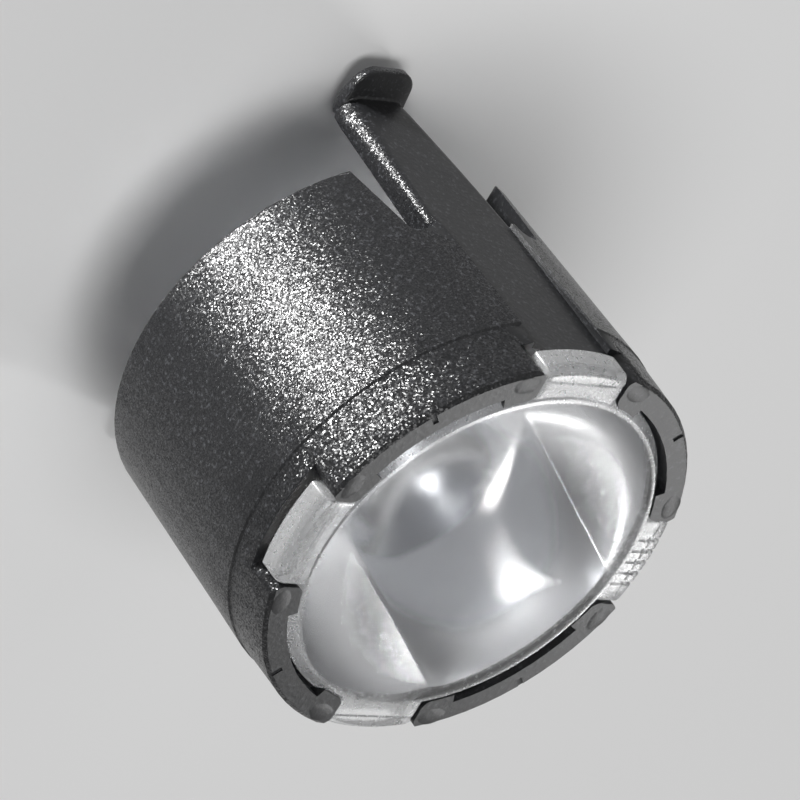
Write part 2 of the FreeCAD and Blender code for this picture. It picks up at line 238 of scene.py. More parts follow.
def group_sockets(tree: bpy.types.NodeTree, inputs: dict[str, float], outputs: dict[str, str]) -> None:
    """Gives a node group its named inputs and outputs.

    Args:
        tree: The group.
        inputs: Names of its number inputs, with their usual values.
        outputs: Names of its outputs, with Blender's names of their socket types.
    """
    for name, value in inputs.items():
        socket = tree.interface.new_socket(name, in_out="INPUT", socket_type="NodeSocketFloat")
        socket.default_value = value
    for name, kind in outputs.items():
        tree.interface.new_socket(name, in_out="OUTPUT", socket_type=kind)


@dataclass(frozen=True)
class MouldGrain:
    """Grain of a spark-eroded or polished mould wall."""

    detail: float = 2.0
    roughness: float = 0.6
    pit_scale: float = 0.8
    peak_start: float = 0.55
    peak_full: float = 0.72

    def make(self) -> bpy.types.NodeTree:
        """Builds the node group.

        Returns:
            A group that turns grain size in millimetres and unevenness into a height and a mask of
            the grains that stand proud.
        """
        tree = bpy.data.node_groups.new("mould_grain", "ShaderNodeTree")
        group_sockets(tree, {"Grain Size": 0.05, "Unevenness": 0.5},
                      {"Height": "NodeSocketFloat", "Peaks": "NodeSocketFloat"})
        nodes = Nodes(tree)
        given = nodes.add("NodeGroupInput").outputs
        place = nodes.place()
        scale = nodes.math("DIVIDE", 1.0 / MM, given["Grain Size"])
        grain = nodes.add("ShaderNodeTexNoise", noise_dimensions="3D")
        nodes.feed(grain.inputs["Vector"], place)
        nodes.feed(grain.inputs["Scale"], scale)
        nodes.feed(grain.inputs["Detail"], self.detail)
        nodes.feed(grain.inputs["Roughness"], self.roughness)
        pits = nodes.add("ShaderNodeTexVoronoi", voronoi_dimensions="3D", feature="F1")
        nodes.feed(pits.inputs["Vector"], place)
        nodes.feed(pits.inputs["Scale"], nodes.math("MULTIPLY", scale, self.pit_scale))
        pit_height = nodes.math("MULTIPLY", pits.outputs["Distance"], given["Unevenness"])
        out = nodes.add("NodeGroupOutput")
        nodes.feed(out.inputs["Height"], nodes.math("ADD", grain.outputs[0], pit_height))
        nodes.feed(out.inputs["Peaks"], nodes.ramp(grain.outputs[0], self.peak_start, self.peak_full))
        return tree


@dataclass(frozen=True)
class TiltedFacets:
    """Small facets of a roughened surface, each tilted its own way."""

    middle: tuple[float, float, float] = (0.5, 0.5, 0.5)

    def make(self) -> bpy.types.NodeTree:
        """Builds the node group.

        Returns:
            A group that turns facet size in millimetres and tilt into a normal.
        """
        tree = bpy.data.node_groups.new("tilted_facets", "ShaderNodeTree")
        group_sockets(tree, {"Facet Size": 0.05, "Tilt": 0.5}, {"Normal": "NodeSocketVector"})
        nodes = Nodes(tree)
        given = nodes.add("NodeGroupInput").outputs
        cells = nodes.add("ShaderNodeTexVoronoi", voronoi_dimensions="3D", feature="F1")
        nodes.feed(cells.inputs["Vector"], nodes.place())
        nodes.feed(cells.inputs["Scale"], nodes.math("DIVIDE", 1.0 / MM, given["Facet Size"]))
        centred = nodes.vector("SUBTRACT", cells.outputs["Color"], self.middle)
        scaled = nodes.add("ShaderNodeVectorMath", operation="SCALE", i0=centred)
        nodes.feed(scaled.inputs["Scale"], given["Tilt"])
        tilted = nodes.vector("ADD", nodes.facing(), scaled.outputs[0])
        out = nodes.add("NodeGroupOutput")
        nodes.feed(out.inputs["Normal"], nodes.vector("NORMALIZE", tilted))
        return tree


def place_group(nodes: Nodes, tree: bpy.types.NodeTree, **values: object) -> bpy.types.Node:
    """Places a node group in a material.

    Args:
        nodes: Nodes of the material.
        tree: The group.
        values: The group's inputs by name, with _ for each space.

    Returns:
        The group's node.
    """
    node = nodes.add("ShaderNodeGroup", node_tree=tree)
    for name, value in values.items():
        nodes.feed(node.inputs[name.replace("_", " ")], value)
    return node


def start_material(name: str) -> tuple[bpy.types.Material, Nodes, bpy.types.Node]:
    """Starts a material.

    Args:
        name: The material's name.

    Returns:
        The material, its nodes and its main shader.
    """
    material = bpy.data.materials.new(name)
    material.use_nodes = True
    return material, Nodes(material.node_tree), material.node_tree.nodes["Principled BSDF"]


@dataclass(frozen=True)
class MouldedBlack:
    """Black polymer with spark-eroded and polished areas. Grain sizes are millimetres."""

    colour: Colour = (0.007, 0.0072, 0.008, 1.0)
    worn: Colour = (0.03, 0.031, 0.034, 1.0)
    fine_facet: float = 0.028
    coarse_facet: float = 0.036
    fine_tilt: float = 0.42
    coarse_tilt: float = 0.55
    grain_size: float = 0.09
    unevenness: float = 0.5
    smooth_depth: float = 0.0035
    grain_depth: float = 0.008
    rough_grain: float = 0.28
    rough_smooth: float = 0.36
    gloss: float = 0.3

    def make(self, grain: bpy.types.NodeTree, facets: bpy.types.NodeTree) -> bpy.types.Material:
        """Builds the material.

        Args:
            grain: The grain group.
            facets: The facet group.

        Returns:
            The material.
        """
        material, nodes, shader = start_material("black_moulding")
        stored = nodes.add("ShaderNodeAttribute", attribute_name=ZONE_NAME).outputs["Fac"]
        fine = Zone.FINE.mask(nodes, stored)
        coarse = Zone.COARSE.mask(nodes, stored)
        small = place_group(nodes, facets, Facet_Size=self.fine_facet, Tilt=self.fine_tilt)
        large = place_group(nodes, facets, Facet_Size=self.coarse_facet, Tilt=self.coarse_tilt)
        tilted = nodes.mix(MixKind.VECTOR, coarse, small.outputs["Normal"], large.outputs["Normal"])
        tilted = nodes.mix(MixKind.VECTOR, fine, nodes.facing(), tilted)
        part = place_group(nodes, grain, Grain_Size=self.grain_size, Unevenness=self.unevenness)
        depth = nodes.ramp(fine, 0.0, 1.0, self.smooth_depth, self.grain_depth)
        height = nodes.math("MULTIPLY", part.outputs["Height"], depth)
        colour = nodes.mix(MixKind.RGBA, part.outputs["Peaks"], self.colour, self.worn)
        rough = nodes.ramp(fine, 0.0, 1.0, self.rough_smooth, self.rough_grain)
        nodes.feed(shader.inputs["Base Color"], colour)
        nodes.feed(shader.inputs["Roughness"], rough)
        nodes.feed(shader.inputs["Normal"], nodes.bump(height, tilted))
        shader.inputs["Specular IOR Level"].default_value = self.gloss
        return material


@dataclass(frozen=True)
class ClearOptic:
    """Clear polymer, polished on the optical faces or satin on the flange and tabs, and tinted grey as
    painted shade on the faces hidden in the sleeve.

    Haze is roughness that the polish gains towards the rim, between two radii in millimetres.
    """

    name: str
    colour: Colour
    cloud: Colour
    clearness: float
    roughness: float
    cloud_roughness: float
    grain_size: float
    grain_depth: float
    haze: float = 0.0
    haze_start: float = 2.3
    haze_end: float = 4.06
    unevenness: float = 0.3
    refraction: float = 1.49

    def make(self, grain: bpy.types.NodeTree) -> bpy.types.Material:
        """Builds the material.

        Args:
            grain: The grain group.

        Returns:
            The material.
        """
        material, nodes, shader = start_material(self.name)
        part = place_group(nodes, grain, Grain_Size=self.grain_size, Unevenness=self.unevenness)
        height = nodes.math("MULTIPLY", part.outputs["Height"], self.grain_depth)
        peaks = part.outputs["Peaks"]
        rough = nodes.ramp(peaks, 0.0, 1.0, self.roughness, self.cloud_roughness)
        if self.haze > 0.0:
            away = nodes.length(nodes.vector("MULTIPLY", nodes.place(), (1.0, 1.0, 0.0)))
            gain = nodes.ramp(away, self.haze_start * MM, self.haze_end * MM, 0.0, self.haze)
            rough = nodes.math("ADD", rough, gain)
        nodes.feed(shader.inputs["Base Color"], nodes.mix(MixKind.RGBA, peaks, self.colour, self.cloud))
        nodes.feed(shader.inputs["Roughness"], rough)
        nodes.feed(shader.inputs["Normal"], nodes.bump(height))
        shader.inputs["Transmission Weight"].default_value = self.clearness
        shader.inputs["IOR"].default_value = self.refraction
        return material


class LensFace(Enum):
    """Finishes of the lens, each with its place in the lens's list of materials."""

    POLISHED = 0
    SATIN = 1
    HIDDEN = 2


LENS_FINISHES = {
    LensFace.POLISHED: ClearOptic(
        name="clear_polished", colour=(0.96, 0.97, 0.985, 1.0), cloud=(0.92, 0.94, 0.96, 1.0),
        clearness=0.97, roughness=0.1, cloud_roughness=0.14, grain_size=0.045, grain_depth=0.0013,
        haze=0.12),
    LensFace.SATIN: ClearOptic(
        name="clear_satin", colour=(0.95, 0.955, 0.96, 1.0), cloud=(0.88, 0.89, 0.9, 1.0),
        clearness=0.85, roughness=0.24, cloud_roughness=0.34, grain_size=0.11, grain_depth=0.0013),
    # The hidden faces' grey colour and cloud are painted shade, standing in for light that is lost into
    # the dark sleeve.
    LensFace.HIDDEN: ClearOptic(
        name="clear_reflector_painted_shade", colour=(0.5, 0.52, 0.56, 1.0), cloud=(0.42, 0.44, 0.48, 1.0),
        clearness=0.97, roughness=0.22, cloud_roughness=0.26, grain_size=0.12, grain_depth=0.002),
}


@dataclass(frozen=True)
class FloorPaint:
    """Plain pale floor, which runs into the pale backdrop far from the part. Distances are metres."""

    colour: Colour = (0.74, 0.74, 0.74, 1.0)
    shade: Colour = (0.72, 0.72, 0.72, 1.0)
    patch: float = 9.0
    black: Colour = (0.0, 0.0, 0.0, 1.0)
    far_glow: Colour = (0.44, 0.44, 0.44, 1.0)
    fade_start: float = 0.02
    fade_end: float = 0.16
    roughness: float = 0.9

    def make(self) -> bpy.types.Material:
        """Builds the material.

        Returns:
            The material.
        """
        material, nodes, shader = start_material("pale_floor")
        place = nodes.place()
        noise = nodes.add("ShaderNodeTexNoise")
        nodes.feed(noise.inputs["Scale"], self.patch)
        nodes.feed(noise.inputs["Vector"], place)
        colour = nodes.mix(MixKind.RGBA, noise.outputs[0], self.colour, self.shade)
        far = nodes.ramp(nodes.length(place), self.fade_start, self.fade_end)
        glow = nodes.math("MULTIPLY", far, nodes.seen_directly())
        light = nodes.mix(MixKind.RGBA, glow, self.black, self.far_glow)
        nodes.feed(shader.inputs["Base Color"], colour)
        nodes.feed(shader.inputs["Emission Color"], light)
        shader.inputs["Emission Strength"].default_value = 1.0
        shader.inputs["Roughness"].default_value = self.roughness
        return material


def arc(centre: Point, radius: float, start: float, end: float, steps: int) -> list[Point]:
    """Goes round part of a circle, in a plane.

    Args:
        centre: The circle's centre.
        radius: The circle's radius.
        start: First angle in degrees.
        end: Last angle in degrees.
        steps: Number of steps between them.

    Returns:
        The points.
    """
    points = []
    for step in range(steps + 1):
        angle = math.radians(start + (end - start) * step / steps)
        points.append((centre[0] + radius * math.cos(angle), centre[1] + radius * math.sin(angle)))
    return points


def three_point_height(x: float, near: Point, middle: Point, far: Point) -> float:
    """Finds a height on the arc through three points that stand in order along x.

    Args:
        x: Where the height is wanted.
        near: The first point.
        middle: The point between.
        far: The last point.

    Returns:
        The height.
    """
    ax, ay = near
    bx, by = middle
    cx, cy = far
    twice = 2.0 * (ax * (by - cy) + bx * (cy - ay) + cx * (ay - by))
    a2, b2, c2 = ax * ax + ay * ay, bx * bx + by * by, cx * cx + cy * cy
    centre_x = (a2 * (by - cy) + b2 * (cy - ay) + c2 * (ay - by)) / twice
    centre_y = (a2 * (cx - bx) + b2 * (ax - cx) + c2 * (bx - ax)) / twice
    radius = math.hypot(ax - centre_x, ay - centre_y)
    side = 1.0 if by > centre_y else -1.0
    return centre_y + side * math.sqrt(max(radius * radius - (x - centre_x) ** 2, 0.0))


def to_object(name: str, mesh_data: bmesh.types.BMesh) -> bpy.types.Object:
    """Puts mesh data in the scene and frees it.

    Args:
        name: Name of the object.
        mesh_data: The mesh data.

    Returns:
        The object.
    """
    mesh = bpy.data.meshes.new(name)
    mesh_data.to_mesh(mesh)
    mesh_data.free()
    piece = bpy.data.objects.new(name, mesh)
    bpy.context.scene.collection.objects.link(piece)
    return piece


def loft(name: str, sections: list[list[Vector]]) -> bpy.types.Object:
    """Makes a closed solid through closed sections, capped at both ends.

    Args:
        name: Name of the object.
        sections: The sections in order, each of as many points, in millimetres.

    Returns:
        The solid.
    """
    mesh_data = bmesh.new()
    rings = [[mesh_data.verts.new(point * MM) for point in section] for section in sections]
    count = len(rings[0])
    for lower, upper in zip(rings, rings[1:]):
        for index in range(count):
            after = (index + 1) % count
            mesh_data.faces.new((lower[index], lower[after], upper[after], upper[index]))
    mesh_data.faces.new(list(reversed(rings[0])))
    mesh_data.faces.new(rings[-1])
    bmesh.ops.recalc_face_normals(mesh_data, faces=mesh_data.faces)
    return to_object(name, mesh_data)


def block(name: str, low: Vector, high: Vector) -> bpy.types.Object:
    """Makes a plain block, for cutting.

    Args:
        name: Name of the object.
        low: Lowest corner, in millimetres.
        high: Highest corner, in millimetres.

    Returns:
        The block.
    """
    outline = [(low.x, low.y), (high.x, low.y), (high.x, high.y), (low.x, high.y)]
    sections = [[Vector((x, y, level)) for x, y in outline] for level in (low.z, high.z)]
    return loft(name, sections)


def spin(piece: bpy.types.Object, angle: float) -> None:
    """Turns a piece's mesh round the optical axis."""
    piece.data.transform(Matrix.Rotation(angle, 4, "Z"))


def apply_modifiers(piece: bpy.types.Object) -> None:
    """Writes a piece's modifiers into its mesh.

    Args:
        piece: The piece.
    """
    bpy.context.view_layer.update()
    graph = bpy.context.evaluated_depsgraph_get()
    mesh = bpy.data.meshes.new_from_object(piece.evaluated_get(graph))
    piece.modifiers.clear()
    piece.data = mesh


def combine(piece: bpy.types.Object, tool: bpy.types.Object, operation: str) -> None:
    """Joins a tool to a piece, or cuts it away, and removes the tool.

    Args:
        piece: The piece.
        tool: The tool.
        operation: UNION or DIFFERENCE.
    """
    modifier = piece.modifiers.new("combine", "BOOLEAN")
    modifier.operation = operation
    modifier.solver = "EXACT"
    modifier.object = tool
    apply_modifiers(piece)
    bpy.data.objects.remove(tool)


def shade_evenly(piece: bpy.types.Object, angle: float) -> None:
    """Shades a piece smoothly and keeps sharp edges crisp and flats flat.

    Args:
        piece: The piece.
        angle: Angle in degrees from which an edge is sharp.
    """
    piece.data.shade_smooth()
    piece.data.set_sharp_from_angle(angle=math.radians(angle))
    weighted = piece.modifiers.new("even_shading", "WEIGHTED_NORMAL")
    weighted.keep_sharp = True
    apply_modifiers(piece)


def paint_zones(piece: bpy.types.Object, choose: Callable[[Vector, Vector], Zone]) -> None:
    """Stores each face's finish.

    Args:
        piece: The moulding.
        choose: Function that gives the finish for a face's centre, in millimetres, and normal.
    """
    layer = piece.data.attributes.new(ZONE_NAME, "FLOAT", "FACE")
    for face in piece.data.polygons:
        layer.data[face.index].value = choose(face.center / MM, face.normal).value


def finish_piece(piece: bpy.types.Object, materials: list[bpy.types.Material], node: str) -> None:
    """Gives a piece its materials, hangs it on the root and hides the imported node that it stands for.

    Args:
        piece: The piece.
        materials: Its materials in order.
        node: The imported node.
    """
    piece.data.materials.clear()
    for material in materials:
        piece.data.materials.append(material)
    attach(piece, "root")
    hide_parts(node)
    LOG.info("%s: %d faces", piece.name, len(piece.data.polygons))


@dataclass
class SnapLeg:
    """One hooked leg, on the +X side before it is turned. Lengths are millimetres.

    A row of fillet is a lift above the ledge and a distance past the leg's face. A row of
    hook_edge is a lift above the ledge, a distance short of the hook's end and a narrowing.
    """

    face: float = 4.7
    inner: float = 4.12
    top: float = 2.4
    cut_level: float = 1.85
    shoulder: float = 1.9
    root_half: float = 1.146
    tip_half: float = 0.93
    nose_start: float = -1.6
    ledge: float = -2.15
    ledge_blend: float = 0.06
    fillet: tuple[Point, ...] = ((0.02, 0.015), (0.0, 0.06))
    hook_edge: tuple[tuple[float, float, float], ...] = (
        (-0.002, 0.05, 0.03), (-0.02, 0.012, 0.01), (-0.05, 0.0, 0.0))
    hook_out: float = 5.38
    hook_face_end: float = -2.35
    tip: float = -2.75
    tip_edge: float = 0.02
    tip_inset: float = 0.03
    tip_out: float = 4.65
    tip_in: float = 4.41
    nose_half: float = 0.3
    outer_round: float = 0.16
    hook_round: float = 0.46
    corner_share: float = 0.72
    hook_narrowing: float = 0.05
    inner_round: float = 0.06
    inner_share: float = 0.2
    tip_round: float = 0.5
    outer_steps: int = 8
    inner_steps: int = 4
    body_steps: int = 15
    nose_steps: int = 10

    def half_width(self, level: float) -> float:
        """Finds half the leg's width.

        Args:
            level: Height on the leg.

        Returns:
            Half the width there.
        """
        if level >= self.shoulder:
            return self.root_half
        if level >= self.nose_start:
            share = (self.shoulder - level) / (self.shoulder - self.nose_start)
            return self.root_half + (self.tip_half - self.root_half) * share
        turn = math.asin(min((self.nose_start - level) / (self.nose_start - self.tip), 1.0))
        return self.nose_half + (self.tip_half - self.nose_half) * math.cos(turn)

    def inner_face(self, level: float) -> float:
        """Finds the leg's inner face.

        Args:
            level: Height on the leg.

        Returns:
            X of the inner face there.
        """
        start = self.tip + self.tip_round
        if level >= start:
            return self.inner
        share = (start - level) / self.tip_round
        return self.inner + (self.tip_in - self.inner) * (1.0 - math.sqrt(max(1.0 - share * share, 0.0)))

    def section(self, level: float, outer: float, corner: float, narrowing: float = 0.0) -> list[Vector]:
        """Rounded outline of the leg at a level.

        Args:
            level: Height of the outline.
            outer: X of the outer face.
            corner: How far the outer corners' rounding reaches along the face.
            narrowing: How far the sides are drawn in.

        Returns:
            The outline's points.
        """
        inner = self.inner_face(level)
        half = self.half_width(level) - narrowing
        depth = min(corner, self.corner_share * (outer - inner))
        reach = min(corner, self.corner_share * half)
        small = min(self.inner_round, self.inner_share * (outer - inner), self.inner_share * half)
        points = []
        for x, y in arc((0.0, 0.0), 1.0, 0, 90, self.outer_steps):
            points.append((outer - depth + depth * x, half - reach + reach * y))
        points += arc((inner + small, half - small), small, 90, 180, self.inner_steps)
        points += arc((inner + small, -half + small), small, 180, 270, self.inner_steps)
        for x, y in arc((0.0, 0.0), 1.0, 270, 360, self.outer_steps):
            points.append((outer - depth + depth * x, -half + reach + reach * y))
        return [Vector((x, y, level)) for x, y in points]

    def build(self) -> bpy.types.Object:
        """Builds the leg.

        Returns:
            The leg.
        """
        sections = []
        for step in range(self.body_steps + 1):
            share = step / self.body_steps
            level = self.top + (self.ledge + self.ledge_blend - self.top) * share
            corner = self.outer_round + (self.hook_round - self.outer_round) * share * share
            sections.append(self.section(level, self.face, corner))
        for lift, past in self.fillet:
            sections.append(self.section(self.ledge + lift, self.face + past, self.hook_round))
        for lift, short, narrowing in self.hook_edge:
            sections.append(self.section(self.ledge + lift, self.hook_out - short, self.hook_round,
                                         self.hook_narrowing + narrowing))
        sections.append(self.section(self.hook_face_end, self.hook_out, self.hook_round))
        for step in range(1, self.nose_steps):
            share = step / self.nose_steps
            level = self.hook_face_end + (self.tip + self.tip_edge - self.hook_face_end) * share
            outer = self.hook_out + (self.tip_out - self.hook_out) * share
            sections.append(self.section(level, outer, self.hook_round))
        sections.append(self.section(self.tip, self.tip_out - self.tip_inset, self.hook_round))
        return loft("snap_leg", sections)


@dataclass
class Sleeve:
    """The black moulded sleeve. Lengths are millimetres.

    A row of pad_rings is a share of the pad's size and a height, which is a share of pad_rise
    where it isn't below the finger's face.
    """

    height: float = 6.7
    parting: float = 5.25
    parting_reach: float = 0.08
    parting_radius: float = 4.985
    parting_slope: float = 0.05
    wall_radius: float = 4.75
    finger_count: int = 4
    pad_radius: float = 4.66
    pad_across: float = 1.53
    pad_half_out: float = 0.23
    pad_half_across: float = 0.36
    pad_rise: float = 0.014
    pad_lean: float = 14.0
    pad_sides: int = 28
    pad_rings: tuple[Point, ...] = (
        (1.0, -0.12), (1.0, -0.002), (0.85, 0.3), (0.7, 0.6), (0.5, 0.85), (0.25, 1.0))
    leg_root: float = 2.2
    leg_room: float = 0.4
    leg_margin: float = 0.05
    leg_zone_half: float = 1.3
    leg_zone_start: float = 4.0
    ledge: float = -2.15
    side_facing: float = 0.35
    down_facing: float = 0.5
    wall_facing: float = 0.4
    edge_round: float = 0.035
    edge_steps: int = 2
    sharp_angle: float = 24.0
    crisp_angle: float = 40.0
    flat_angle: float = 0.5
    weld_reach: float = 0.0001
    step_reach: float = 0.001

    def start(self, packed: bpy.types.Object) -> bpy.types.Object:
        """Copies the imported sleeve, makes its flat faces whole and slopes its parting step.

        Args:
            packed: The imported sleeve.

        Returns:
            The copy.
        """
        mesh_data = bmesh.new()
        mesh_data.from_mesh(packed.data)
        bmesh.ops.remove_doubles(mesh_data, verts=mesh_data.verts, dist=self.weld_reach * MM)
        for vertex in mesh_data.verts:
            place = vertex.co / MM
            radius = math.hypot(place.x, place.y)
            at_step = abs(place.z - self.parting) < self.step_reach
            if at_step and self.wall_radius < radius < self.parting_radius:
                vertex.co.z += self.parting_slope * MM
        bmesh.ops.dissolve_limit(mesh_data, angle_limit=math.radians(self.flat_angle),
                                 verts=mesh_data.verts, edges=mesh_data.edges)
        return to_object("sleeve", mesh_data)

    def round_edges(self, piece: bpy.types.Object) -> None:
        """Rounds the sharp edges as a mould does.

        Args:
            piece: The sleeve.
        """
        bevel = piece.modifiers.new("edge_round", "BEVEL")
        bevel.limit_method = "ANGLE"
        bevel.angle_limit = math.radians(self.sharp_angle)
        bevel.width = self.edge_round * MM
        bevel.segments = self.edge_steps
        bevel.use_clamp_overlap = True
        bevel.miter_outer = "MITER_ARC"
        apply_modifiers(piece)

    def fit_legs(self, piece: bpy.types.Object) -> None:
        """Takes the plain legs off below their roots and joins rounded ones there.

        Args:
            piece: The sleeve.
        """
        leg = SnapLeg()
        room, half = self.leg_room, leg.root_half + self.leg_margin
        for turn in (0.0, math.pi):
            low = Vector((leg.inner - room, -half, leg.tip - room))
            high = Vector((leg.hook_out + room, half, leg.cut_level))
            cutter = block("leg_room", low, high)
            spin(cutter, turn)
            combine(piece, cutter, "DIFFERENCE")
            rounded = leg.build()
            spin(rounded, turn)
            combine(piece, rounded, "UNION")

    def add_pads(self, piece: bpy.types.Object) -> None:
        """Joins the low oval pad at each end of the four fingers.

        Args:
            piece: The sleeve.
        """
        for quarter in range(self.finger_count):
            for side in (-1.0, 1.0):
                across = side * self.pad_across
                out = math.sqrt(self.pad_radius ** 2 - across ** 2)
                pad = self.pad(Vector((out, across, self.height)), side)
                spin(pad, quarter * QUARTER_TURN)
                combine(piece, pad, "UNION")

    def pad(self, middle: Vector, side: float) -> bpy.types.Object:
        """One low oval pad, its long way across the finger's end.

        Args:
            middle: Its middle on the finger's front face.
            side: The side of its window, which its long axis leans to.

        Returns:
            The pad, with a root inside the finger.
        """
        sections = []
        lean = Matrix.Rotation(math.radians(self.pad_lean) * side, 3, "Z")
        for share, rise in self.pad_rings:
            level = self.pad_rise * rise if rise >= 0.0 else rise
            loop = []
            for step in range(self.pad_sides):
                turn = 2.0 * math.pi * step / self.pad_sides
                offset = Vector((self.pad_half_out * share * math.cos(turn),
                                 self.pad_half_across * share * math.sin(turn), level))
                loop.append(middle + lean @ offset)
            sections.append(loop)
        return loft("finger_pad", sections)

    def zone(self, centre: Vector, normal: Vector) -> Zone:
        """Chooses the finish of a face of the sleeve.

        Args:
            centre: The face's centre.
            normal: The way it faces.

        Returns:
            Its finish.
        """
        radius = math.hypot(centre.x, centre.y)
        outward = (centre.x * normal.x + centre.y * normal.y) / radius
        on_leg = abs(centre.y) < self.leg_zone_half and abs(centre.x) > self.leg_zone_start
        if on_leg and abs(normal.y) > self.side_facing and centre.z < self.leg_root:
            return Zone.FINE
        if on_leg and centre.z < self.ledge and normal.z < self.down_facing:
            return Zone.FINE
        if on_leg:
            return Zone.SMOOTH
        at_parting = abs(centre.z - self.parting) < self.parting_reach
        if radius > self.wall_radius and (outward > self.wall_facing or at_parting):
            return Zone.COARSE if centre.z > self.parting else Zone.FINE
        return Zone.SMOOTH

    def build(self, packed: bpy.types.Object, material: bpy.types.Material) -> bpy.types.Object:
        """Builds and dresses the sleeve.

        Args:
            packed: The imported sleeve.
            material: The black moulding.

        Returns:
            The sleeve.
        """
        piece = self.start(packed)
        self.round_edges(piece)
        self.fit_legs(piece)
        self.add_pads(piece)
        shade_evenly(piece, self.crisp_angle)
        paint_zones(piece, self.zone)
        finish_piece(piece, [material], "holder")
        return piece


@dataclass
class Collimator:
    """The clear lens. Lengths are millimetres.

    Flute_edges are shares of a flute's width, tab_edge_angles degrees on a tab's rounded side.
    """

    azimuths: int = 320
    dome_rings: int = 96
    front: float = 6.7
    dome: float = 0.38
    rim: float = 4.14
    rim_inner: float = 4.06
    flange: float = 4.34
    chamfer: float = 6.46
    chamfer_steps: int = 4
    seat: float = 6.0
    seat_edge: float = 0.03
    base: float = 0.3
    cone_top: float = 4.04
    cone_middle: float = 3.15
    cone_middle_level: float = 2.808
    cone_foot: float = 1.75
    cone_steps: int = 40
    well_mouth: float = 1.55
    well_top: float = 1.3
    well_level: float = 2.8
    well_bulge: float = 0.45
    well_steps: int = 12
    crease_angle: float = 51.0
    crease_offset: float = 2.15
    crease_level: float = 0.05
    crest_drop: float = 0.03
    side_rise: float = 0.05
    lobe_edge: float = 5.49
    crease_soft: float = 0.05
    satin_start: float = 4.04
    hidden_depth: float = 0.05
    crisp_angle: float = 28.0
    tab_count: int = 4
    ribbed_tab: int = 3
    tab_half: float = 1.1
    tab_root: float = 0.1
    tab_radius: float = 4.89
    tab_top: float = 6.66
    tab_round: float = 0.18
    tab_round_steps: int = 6
    tab_edge: float = 0.05
    tab_edge_angles: tuple[int, ...] = (0, 30, 60, 90)
    tab_foot: float = 0.03
    tab_half_stations: int = 8
    tab_flat_share: float = 0.9
    groove_radius: float = 4.5
    groove_width: float = 0.03
    rib_pitch: float = 0.3
    flute_count: int = 5
    flute_width: float = 0.13
    flute_depth: float = 0.06
    flute_fall: float = 0.05
    flute_edges: tuple[float, ...] = (-0.52, -0.48, 0.48, 0.52)

    def lobe_height(self, across: float) -> float:
        """Finds the height of the lobes' arcs, without the dome.

        Args:
            across: Distance from the middle, across the creases.

        Returns:
            The height.
        """
        valley = self.front + self.crease_level
        if across < self.crease_offset:
            crest = self.front + self.dome - self.crest_drop
            return three_point_height(across, (-self.crease_offset, valley), (0.0, crest),
                                      (self.crease_offset, valley))
        middle = HALF * (self.crease_offset + self.lobe_edge)
        return three_point_height(across, (self.crease_offset, valley),
                                  (middle, valley + self.side_rise), (self.lobe_edge, valley))

    def front_height(self, x: float, y: float) -> float:
        """Finds the height of the lobed front.

        Args:
            x: X of the point.
            y: Y of the point.

        Returns:
            The lower of the dome and the lobes, blended softly where they meet.
        """
        radius = math.hypot(x, y)
        dome = self.front + self.dome * (1.0 - (radius / self.rim_inner) ** 2)
        turn = math.radians(self.crease_angle + 90.0)
        lobe = self.lobe_height(abs(x * math.cos(turn) + y * math.sin(turn)))
        soft = self.crease_soft
        if abs(dome - lobe) >= soft:
            return min(dome, lobe)
        return min(dome, lobe) - (soft - abs(dome - lobe)) ** 2 / (4.0 * soft)

    def outline(self) -> list[Point]:
        """Draws the turned outline from the rim, round the flange and cone, to the well's top.

        Returns:
            Radius and level of each point.
        """
        points = [(self.rim_inner, self.front), (self.rim, self.front)]
        for step in range(1, self.chamfer_steps + 1):
            share = step / self.chamfer_steps
            points.append((self.rim + (self.flange - self.rim) * share,
                           self.front + (self.chamfer - self.front) * share))
        points += [(self.flange, self.seat + self.seat_edge), (self.flange - self.seat_edge, self.seat)]
        points.append((self.cone_top, self.seat))
        foot = (self.base, self.cone_foot)
        middle = (self.cone_middle_level, self.cone_middle)
        top = (self.seat, self.cone_top)
        for step in range(1, self.cone_steps + 1):
            level = self.seat + (self.base - self.seat) * step / self.cone_steps
            points.append((three_point_height(level, foot, middle, top), level))
        points.append((self.well_mouth, self.base))
        for step in range(1, self.well_steps + 1):
            share = step / self.well_steps
            points.append((self.well_mouth + (self.well_top - self.well_mouth) * share,
                           self.base + (self.well_level - self.base) * share))
        for step in range(1, self.well_steps):
            radius = self.well_top * (1.0 - step / self.well_steps)
            bulge = self.well_bulge * (1.0 - (radius / self.well_top) ** 2)
            points.append((radius, self.well_level - bulge))
        return points

    def turned_body(self) -> bpy.types.Object:
        """Builds the lens without its tabs.

        Returns:
            The body.
        """
        mesh_data = bmesh.new()
        rings = self.dome_rings
        stations = [(self.rim_inner * ring / rings, None) for ring in range(1, rings)]
        stations += self.outline()
        loops = []
        for radius, level in stations:
            loop = []
            for step in range(self.azimuths):
                angle = 2.0 * math.pi * step / self.azimuths
                x, y = radius * math.cos(angle), radius * math.sin(angle)
                z = self.front_height(x, y) if level is None else level
                loop.append(mesh_data.verts.new(Vector((x, y, z)) * MM))
            loops.append(loop)
        peak = mesh_data.verts.new(Vector((0.0, 0.0, self.front_height(0.0, 0.0))) * MM)
        roof = mesh_data.verts.new(Vector((0.0, 0.0, self.well_level - self.well_bulge)) * MM)
        for step in range(self.azimuths):
            after = (step + 1) % self.azimuths
            mesh_data.faces.new((peak, loops[0][step], loops[0][after]))
            mesh_data.faces.new((roof, loops[-1][after], loops[-1][step]))
            for inner, outer in zip(loops, loops[1:]):
                mesh_data.faces.new((inner[step], outer[step], outer[after], inner[after]))
        bmesh.ops.recalc_face_normals(mesh_data, faces=mesh_data.faces)
        return to_object("clear_lens", mesh_data)

    def flute_middles(self) -> list[float]:
        """Places of the flutes across the ribbed tab."""
        count = self.flute_count
        return [(index - (count - 1) / 2) * self.rib_pitch for index in range(count)]

